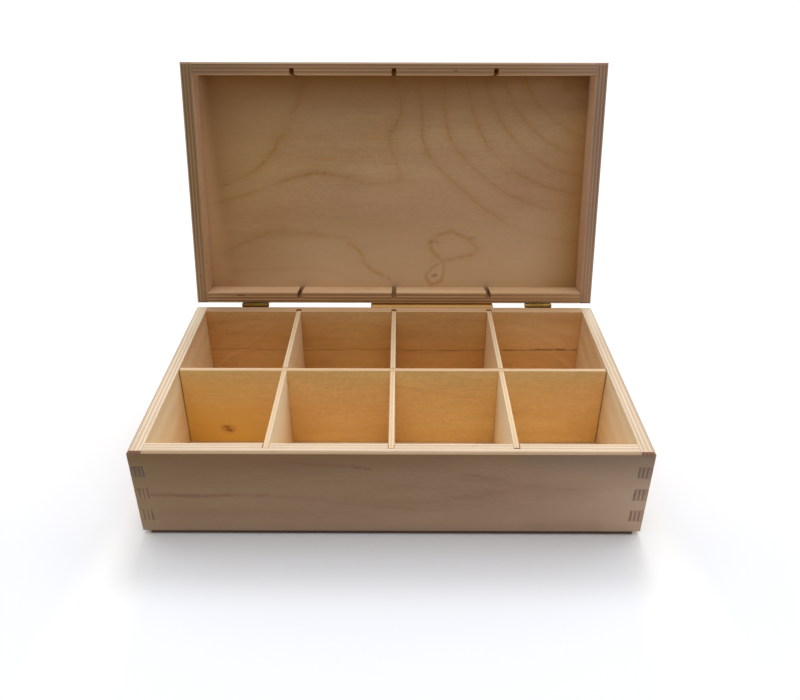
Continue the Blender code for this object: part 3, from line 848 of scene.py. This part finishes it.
FRONT_MARKS = (
    Mark(((-0.090, 0.0575, 0.0024), (-0.045, 0.0540, 0.0040), (-0.012, 0.0500, 0.0024)), SOFT_STREAK, 0.48),
    Mark(((-0.060, 0.0542, 0.0008), (-0.034, 0.0522, 0.0016), (-0.014, 0.0500, 0.0012)), DARK_STREAK, 0.30),
    Mark(((-0.0200, 0.0503, 0.0009), (-0.0105, 0.0499, 0.0012)), DARK_STREAK, 0.38),
    Mark(((-0.137, 0.0304, 0.0028), (-0.105, 0.0298, 0.0030), (-0.070, 0.0305, 0.0022)), SOFT_STREAK, 0.46),
    Mark(((-0.137, 0.0304, 0.0014), (-0.115, 0.0301, 0.0016), (-0.092, 0.0296, 0.0010)), DARK_STREAK, 0.32),
    Mark(((-0.084, 0.0302, 0.0014), (-0.052, 0.0290, 0.0022), (-0.026, 0.0238, 0.0018)), SOFT_STREAK, 0.20),
    Mark(((-0.026, 0.0238, 0.0014), (0.000, 0.0215, 0.0018), (0.028, 0.0185, 0.0014)), SOFT_STREAK, 0.20),
    Mark(((0.041, 0.0457, 0.0012), (0.049, 0.0450, 0.0018)), SOFT_STREAK, 0.60),
    Mark(((0.064, 0.0390, 0.0012), (0.094, 0.0355, 0.0018), (0.112, 0.0350, 0.0010)), OLIVE_WASH, 0.35),
)

# Marks of the inner faces: a dark seam along the rear wall, painted light toward the front of the side walls
# and the cross dividers, a double knot
SEAM = shade(96, 48, 18)
UMBER = shade(160, 108, 52)
CLAY = shade(160, 112, 88)
ROSE = shade(250, 212, 172)
REAR_WASHES = (
    Mark(((-0.150, 0.040, 0.075), (-0.065, 0.040, 0.075)), UMBER, 0.24),
    Mark(((0.012, 0.045, 0.045), (0.045, 0.045, 0.045)), CLAY, 0.22),
    Mark(((-0.060, 0.062, 0.016), (0.0, 0.062, 0.012)), ROSE, 0.15),
    Mark(((0.110, 0.050, 0.045), (0.150, 0.030, 0.050)), ROSE, 0.35),
)
REAR_MARKS = (
    Mark(((-0.137, 0.0290, 0.0008), (-0.060, 0.0285, 0.0008), (0.0, 0.0290, 0.0007)), SEAM, 0.40),
    Mark(((0.0, 0.0290, 0.0007), (0.035, 0.0280, 0.0008), (0.070, 0.0290, 0.0008)), SEAM, 0.55),
    Mark(((0.080, 0.0285, 0.0008), (0.098, 0.0290, 0.0012), (0.136, 0.0287, 0.0010)), SEAM, 0.85),
)
# A pale wash toward the front: painted light where the standing lid throws no shade
PAINTED_LIGHT_TONE = shade(255, 243, 212)
FRONT_PAINTED_LIGHT_LINE = ((-0.090, 0.066, 0.085), (-0.034, 0.066, 0.070))
LEFT_WASHES = (Mark(FRONT_PAINTED_LIGHT_LINE, PAINTED_LIGHT_TONE, 0.95, 1),)
RIGHT_WASHES = (Mark(FRONT_PAINTED_LIGHT_LINE, PAINTED_LIGHT_TONE, 0.95),)
CROSS_WASHES = LEFT_WASHES + RIGHT_WASHES
AMBER = shade(236, 188, 82)
RUSSET = shade(176, 98, 32)
KNOT = shade(98, 52, 22)
LONG_WASHES = (
    Mark(((-0.160, 0.000, 0.085), (-0.105, 0.000, 0.070)), AMBER, 0.90),
    Mark(((-0.050, 0.000, 0.040), (0.140, 0.000, 0.040)), AMBER, 0.32),
    Mark(((-0.1120, 0.0145, 0.0050), (-0.1085, 0.0140, 0.0055)), RUSSET, 0.50),
)
LONG_MARKS = (
    Mark(((-0.1130, 0.0158, 0.0012), (-0.1100, 0.0157, 0.0020)), KNOT, 0.60),
    Mark(((-0.1105, 0.0131, 0.0019), (-0.1085, 0.0128, 0.0018)), KNOT, 0.70),
)

# Marks of the panel's inner face: painted shadow under the lid's front wall, ochre tone and painted shade
# along the top edge, paler fields of painted light toward the hinge, in the middle and along the left edge,
# amber tones, knots and figure lines
PANEL_PAINTED_SHADOW = shade(118, 76, 20)
PANEL_PAINTED_LIGHT = shade(239, 207, 164)
PANEL_AMBER = shade(186, 142, 72)
PANEL_EDGE_PAINTED_LIGHT = shade(238, 200, 154)
PANEL_OCHRE_PAINTED_SHADE = shade(122, 78, 4)
PANEL_SHADE = shade(150, 112, 70)
PANEL_HINGE_PAINTED_LIGHT = shade(242, 208, 162)
FIGURE_LINE = shade(190, 132, 34)
TOP_EDGE_PAINTED_SHADE_LINE = (
    (-0.160, -0.081, 0.033),
    (-0.060, -0.081, 0.030),
    (0.030, -0.081, 0.028),
    (0.125, -0.082, 0.010),
)
LEFT_EDGE_PAINTED_LIGHT_LINE = (
    (-0.141, 0.090, 0.024),
    (-0.141, 0.045, 0.021),
    (-0.141, 0.005, 0.016),
    (-0.142, -0.070, 0.012),
)
# Washes: painted shadow along the top, painted light toward the hinge, in the middle and along the left edge
PANEL_WASHES = (
    Mark(((-0.180, -0.090, 0.052), (0.180, -0.090, 0.052)), PANEL_PAINTED_SHADOW, 0.85),
    Mark(((-0.150, -0.060, 0.120), (-0.150, 0.060, 0.120)), PANEL_AMBER, 0.45),
    Mark(((-0.040, 0.085, 0.085), (0.110, 0.080, 0.085)), PANEL_PAINTED_LIGHT, 0.80),
    Mark(((-0.110, 0.090, 0.053), (-0.060, 0.090, 0.053)), PANEL_PAINTED_LIGHT, 0.42),
    Mark(((-0.010, 0.000, 0.030), (0.060, 0.000, 0.036)), PANEL_PAINTED_LIGHT, 0.14),
    Mark(((0.152, -0.030, 0.044), (0.152, 0.090, 0.066)), PANEL_AMBER, 0.80),
    Mark(TOP_EDGE_PAINTED_SHADE_LINE, PANEL_OCHRE_PAINTED_SHADE, 0.88),
    Mark(((-0.132, -0.050, 0.046), (-0.132, -0.012, 0.044)), PANEL_SHADE, 0.42),
    Mark(((-0.160, -0.046, 0.040), (-0.040, -0.046, 0.034), (0.020, -0.050, 0.020)), PANEL_SHADE, 0.30),
    Mark(((-0.110, 0.084, 0.020), (0.100, 0.084, 0.022)), PANEL_HINGE_PAINTED_LIGHT, 0.60),
    Mark(LEFT_EDGE_PAINTED_LIGHT_LINE, PANEL_EDGE_PAINTED_LIGHT, 0.85),
)
HOOK_LINE = (
    (-0.034, 0.0425, 0.0022),
    (-0.027, 0.0475, 0.0026),
    (-0.0235, 0.0520, 0.0026),
    (-0.0225, 0.0580, 0.0026),
    (-0.0170, 0.0635, 0.0024),
    (-0.0040, 0.0700, 0.0022),
)
HEART_LINE = (
    (0.0366, 0.0560, 0.0022),
    (0.0280, 0.0480, 0.0024),
    (0.0272, 0.0420, 0.0022),
    (0.0330, 0.0362, 0.0022),
    (0.0420, 0.0338, 0.0024),
    (0.0520, 0.0380, 0.0022),
    (0.0628, 0.0465, 0.0024),
    (0.0590, 0.0515, 0.0022),
    (0.0440, 0.0544, 0.0022),
    (0.0366, 0.0560, 0.0022),
)
LOOP_LINE = (
    (0.0366, 0.0560, 0.0022),
    (0.0285, 0.0605, 0.0024),
    (0.0236, 0.0680, 0.0022),
    (0.0275, 0.0748, 0.0024),
    (0.0350, 0.0720, 0.0024),
    (0.0378, 0.0640, 0.0022),
    (0.0366, 0.0560, 0.0022),
)
PANEL_MARKS = (
    Mark(((0.0265, 0.0418, 0.0012), (0.0300, 0.0413, 0.0016), (0.0325, 0.0418, 0.0010)), KNOT, 0.40),
    Mark(((0.0550, 0.0398, 0.0012), (0.0575, 0.0387, 0.0024), (0.0605, 0.0385, 0.0012)), KNOT, 0.45),
    Mark(((0.0290, 0.0672, 0.0020), (0.0312, 0.0668, 0.0026)), KNOT, 0.50),
    Mark(((-0.0960, -0.0160, 0.0010), (-0.0940, -0.0165, 0.0020)), KNOT, 0.30),
    Mark(
        ((-0.0250, -0.0335, 0.0012), (-0.0100, -0.0330, 0.0018), (-0.0050, -0.0335, 0.0014)),
        FIGURE_LINE,
        0.55,
    ),
    Mark(
        ((-0.0510, -0.0180, 0.0012), (-0.0470, -0.0182, 0.0018), (-0.0430, -0.0180, 0.0012)),
        FIGURE_LINE,
        0.50,
    ),
    Mark(((-0.1250, -0.0010, 0.0009), (-0.1215, -0.0003, 0.0014)), KNOT, 0.35),
    Mark(HOOK_LINE, FIGURE_LINE, 0.44),
    Mark(HEART_LINE, FIGURE_LINE, 0.48),
    Mark(LOOP_LINE, FIGURE_LINE, 0.44),
)

# Marks of the rims, small knots and wide washes, with points as (along, through the board, half width). The
# dark washes near the top ends of the lid's rims are painted shade, the warm pale washes near the bottom of
# the lid painted light, and the pale washes at the rear ends of the base's side rims painted light
RIM_PAINTED_SHADE = shade(92, 70, 50)
RIM_PAINTED_LIGHT = shade(204, 158, 112)
RIM_GREY = shade(176, 150, 140)
RIM_TAN = shade(150, 120, 92)
FRONT_RIM = (
    Mark(((0.0015, -0.0827, 0.0006), (0.0035, -0.0827, 0.0006)), KNOT, 0.25),
    Mark(((0.0445, -0.0783, 0.0006), (0.0475, -0.0783, 0.0006)), KNOT, 0.25),
)
REAR_RIM = (Mark(((-0.150, 0.080, 0.060), (-0.120, 0.080, 0.060)), RIM_TAN, 0.45),)
LEFT_RIM = (Mark(((0.080, -0.141, 0.050), (0.100, -0.141, 0.050)), PAINTED_LIGHT_TONE, 0.5),)
RIGHT_RIM = (Mark(((0.080, 0.141, 0.050), (0.100, 0.141, 0.050)), PAINTED_LIGHT_TONE, 0.5),)
LID_FRONT_RIM = (
    Mark(((0.0405, -0.0786, 0.0009), (0.0430, -0.0786, 0.0009)), KNOT, 0.7),
    Mark(((-0.170, -0.080, 0.080), (-0.140, -0.080, 0.080)), RIM_PAINTED_SHADE, 0.40),
    Mark(((0.125, -0.080, 0.050), (0.150, -0.080, 0.050)), RIM_GREY, 0.22),
)
LID_REAR_RIM = (
    Mark(((-0.1150, 0.0781, 0.0010), (-0.1100, 0.0781, 0.0010)), KNOT, 0.8),
    Mark(((0.115, 0.080, 0.070), (0.150, 0.080, 0.070)), RIM_PAINTED_LIGHT, 0.40),
)
LID_LEFT_RIM = (
    Mark(((0.0628, -0.1404, 0.0010), (0.0648, -0.1404, 0.0010)), KNOT, 0.7),
    Mark(((0.070, -0.141, 0.060), (0.090, -0.141, 0.060)), RIM_PAINTED_LIGHT, 0.24),
    Mark(((-0.100, -0.141, 0.080), (-0.070, -0.141, 0.080)), RIM_PAINTED_SHADE, 0.40),
)
LID_RIGHT_RIM = (
    Mark(((0.070, 0.141, 0.060), (0.090, 0.141, 0.060)), RIM_PAINTED_LIGHT, 0.35),
    Mark(((-0.100, 0.141, 0.080), (-0.070, 0.141, 0.080)), RIM_PAINTED_SHADE, 0.32),
)

# A board: which of x, y and z run along its grain, across it and through the board, its number of plies, its
# seed, its figure, the slot in the record, and its tones. Then the sign of the direction through the board
# toward the open air, or 0 for a board inside the box
Board = namedtuple(
    "Board",
    "node axes plies seed figure slot tones outside marks washes rim_marks easing",
    defaults=(0, (), (), (), WOOD_EASING),
)


X_ALONG = (0, 2, 1)
Y_ALONG = (1, 2, 0)
FLAT = (0, 1, 2)
WALL_PLIES = 7
THIN_PLIES = 3
NO_PLIES = 1


def wall(node, axes, seed, tones, outside, **painting):
    return Board(
        node, axes, WALL_PLIES, seed, straight_figure, "plywood_walls", tones, outside,
        **painting,
    )


def divider(node, axes, seed, tones, **painting):
    return Board(
        node, axes, THIN_PLIES, seed, faint_figure, "plywood_dividers", tones,
        easing=THIN_EASING, **painting,
    )


BOARDS = (
    wall(
        "base_front_wall", X_ALONG, 1, FRONT_TONES, -1,
        marks=FRONT_MARKS, washes=FRONT_WASHES, rim_marks=FRONT_RIM,
    ),
    wall(
        "base_rear_wall", X_ALONG, 2, REAR_TONES, 1,
        marks=REAR_MARKS, washes=REAR_WASHES, rim_marks=REAR_RIM,
    ),
    wall("base_left_wall", Y_ALONG, 3, LEFT_TONES, -1, washes=LEFT_WASHES, rim_marks=LEFT_RIM),
    wall("base_right_wall", Y_ALONG, 4, RIGHT_TONES, 1, washes=RIGHT_WASHES, rim_marks=RIGHT_RIM),
    wall("lid_front_wall", X_ALONG, 5, LID_TONES, -1, rim_marks=LID_FRONT_RIM),
    wall("lid_rear_wall", X_ALONG, 6, LID_REAR_TONES, 1, rim_marks=LID_REAR_RIM),
    wall("lid_left_wall", Y_ALONG, 7, LID_LEFT_TONES, -1, rim_marks=LID_LEFT_RIM),
    wall("lid_right_wall", Y_ALONG, 8, LID_RIGHT_TONES, 1, rim_marks=LID_RIGHT_RIM),
    Board(
        "lid_top_panel", FLAT, THIN_PLIES, 9, panel_figure, "plywood_panel", PANEL_TONES, 1,
        marks=PANEL_MARKS, washes=PANEL_WASHES,
    ),
    divider("divider_long", X_ALONG, 10, LONG_TONES, marks=LONG_MARKS, washes=LONG_WASHES),
    divider("divider_cross_1", Y_ALONG, 11, CROSS_TONES, washes=CROSS_WASHES),
    divider("divider_cross_2", Y_ALONG, 12, CROSS_TONES, washes=CROSS_WASHES),
    divider("divider_cross_3", Y_ALONG, 13, CROSS_TONES, washes=CROSS_WASHES),
    Board("base_stop_batten", X_ALONG, NO_PLIES, 14, straight_figure, "batten_wood", BATTEN_TONES),
    Board("base_bottom_panel", FLAT, NO_PLIES, 15, swirling_figure, "hardboard", HARDBOARD_TONES, -1),
)

# Brass of each hinge, as (start of its nodes' names, material, bright tone, dull tone, seed)
# The left hinge's tones are darker than the right's: painted shade
BRASS = (
    ("hinge_left", "brass_left", shade(108, 80, 32), shade(84, 58, 18), 20),
    ("hinge_right", "brass_right", shade(144, 112, 56), shade(112, 84, 38), 23),
)

add_camera()
add_suns()
add_sky()
add_floor()

for board in BOARDS:
    dress(board.node, Wood(board).finished(), board.easing, WOOD_LEAST_EDGE)

brass = {hinge: metal(*looks) for hinge, *looks in BRASS}
for node in frame["nodes"]:
    for hinge, material in brass.items():
        if node.startswith(hinge):
            dress(node, material, METAL_EASING, METAL_LEAST_EDGE)
